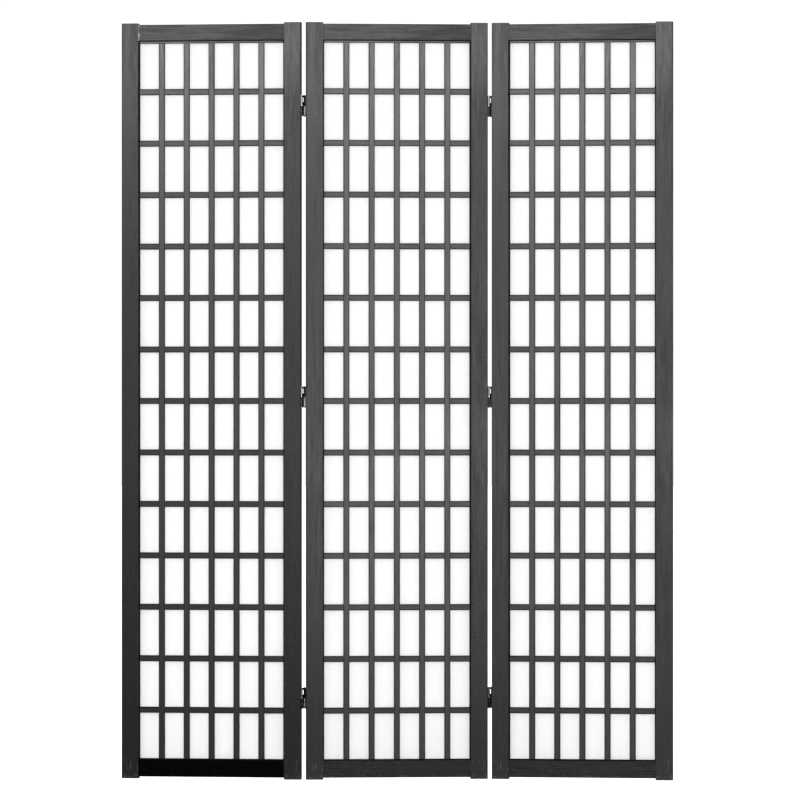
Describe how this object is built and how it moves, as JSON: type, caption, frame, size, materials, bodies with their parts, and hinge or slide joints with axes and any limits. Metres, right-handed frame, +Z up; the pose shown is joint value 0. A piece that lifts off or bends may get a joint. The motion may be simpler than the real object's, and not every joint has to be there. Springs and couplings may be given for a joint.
{
  "type": "folding screen",
  "caption": "Free-standing shoji folding screen: stained wood frames with half-lapped lattices over white paper, joined edge to edge by two-way hinges and stood in a shallow zigzag.",
  "frame": {"origin": "on the floor, under the centre of the middle panel, which is the middle of the whole screen", "axes": "+Z up, +X towards the right panel, -Y towards the viewer, the side on which the lattice shows"},
  "size_m": [1.3016, 0.121, 1.785],
  "materials": {
    "frame": "charcoal stain, satin",
    "lattice": "charcoal stain, satin",
    "dowels": "plain beech",
    "paper": "matt, translucent",
    "hinges": "satin nickel",
    "screws": "satin nickel"
  },
  "bodies": {
    "middle_panel": {"left_bottom_hinge_back_leaf": "hinges", "left_middle_hinge_back_leaf": "hinges", "left_top_hinge_back_leaf": "hinges", "middle_panel_bottom_rail": "frame", "middle_panel_cross_slats": "lattice", "middle_panel_dowels": "dowels", "middle_panel_left_hinge_screws": "screws", "middle_panel_left_stile": "frame", "middle_panel_paper": "paper", "middle_panel_right_hinge_screws": "screws", "middle_panel_right_stile": "frame", "middle_panel_top_rail": "frame", "middle_panel_upright_slats": "lattice", "right_bottom_hinge_front_leaf": "hinges", "right_middle_hinge_front_leaf": "hinges", "right_top_hinge_front_leaf": "hinges"},
    "left_panel": {"left_bottom_hinge_front_leaf": "hinges", "left_middle_hinge_front_leaf": "hinges", "left_panel_bottom_rail": "frame", "left_panel_cross_slats": "lattice", "left_panel_dowels": "dowels", "left_panel_hinge_screws": "screws", "left_panel_left_stile": "frame", "left_panel_paper": "paper", "left_panel_right_stile": "frame", "left_panel_top_rail": "frame", "left_panel_upright_slats": "lattice", "left_top_hinge_front_leaf": "hinges"},
    "left_link": {"left_bottom_hinge_link": "hinges", "left_bottom_hinge_pins": "hinges", "left_middle_hinge_link": "hinges", "left_middle_hinge_pins": "hinges", "left_top_hinge_link": "hinges", "left_top_hinge_pins": "hinges"},
    "right_panel": {"right_bottom_hinge_back_leaf": "hinges", "right_middle_hinge_back_leaf": "hinges", "right_panel_bottom_rail": "frame", "right_panel_cross_slats": "lattice", "right_panel_dowels": "dowels", "right_panel_hinge_screws": "screws", "right_panel_left_stile": "frame", "right_panel_paper": "paper", "right_panel_right_stile": "frame", "right_panel_top_rail": "frame", "right_panel_upright_slats": "lattice", "right_top_hinge_back_leaf": "hinges"},
    "right_link": {"right_bottom_hinge_link": "hinges", "right_bottom_hinge_pins": "hinges", "right_middle_hinge_link": "hinges", "right_middle_hinge_pins": "hinges", "right_top_hinge_link": "hinges", "right_top_hinge_pins": "hinges"}
  },
  "joints": [
    {"name": "left_fold_back", "type": "hinge", "parent": "middle_panel", "child": "left_link", "pos_m": [-0.21751, -0.01039, 0.9015], "axis": [0, 0, -1], "range_deg": [-15, 165]},
    {"name": "left_fold_front", "type": "hinge", "parent": "left_link", "child": "left_panel", "pos_m": [-0.22452, -0.03051, 0.9015], "axis": [0, 0, 1], "range_deg": [0, 90]},
    {"name": "right_fold_front", "type": "hinge", "parent": "middle_panel", "child": "right_link", "pos_m": [0.21751, 0.01039, 0.9015], "axis": [0, 0, -1], "range_deg": [-15, 165]},
    {"name": "right_fold_back", "type": "hinge", "parent": "right_link", "child": "right_panel", "pos_m": [0.22452, 0.03051, 0.9015], "axis": [0, 0, 1], "range_deg": [0, 90]}
  ]
}
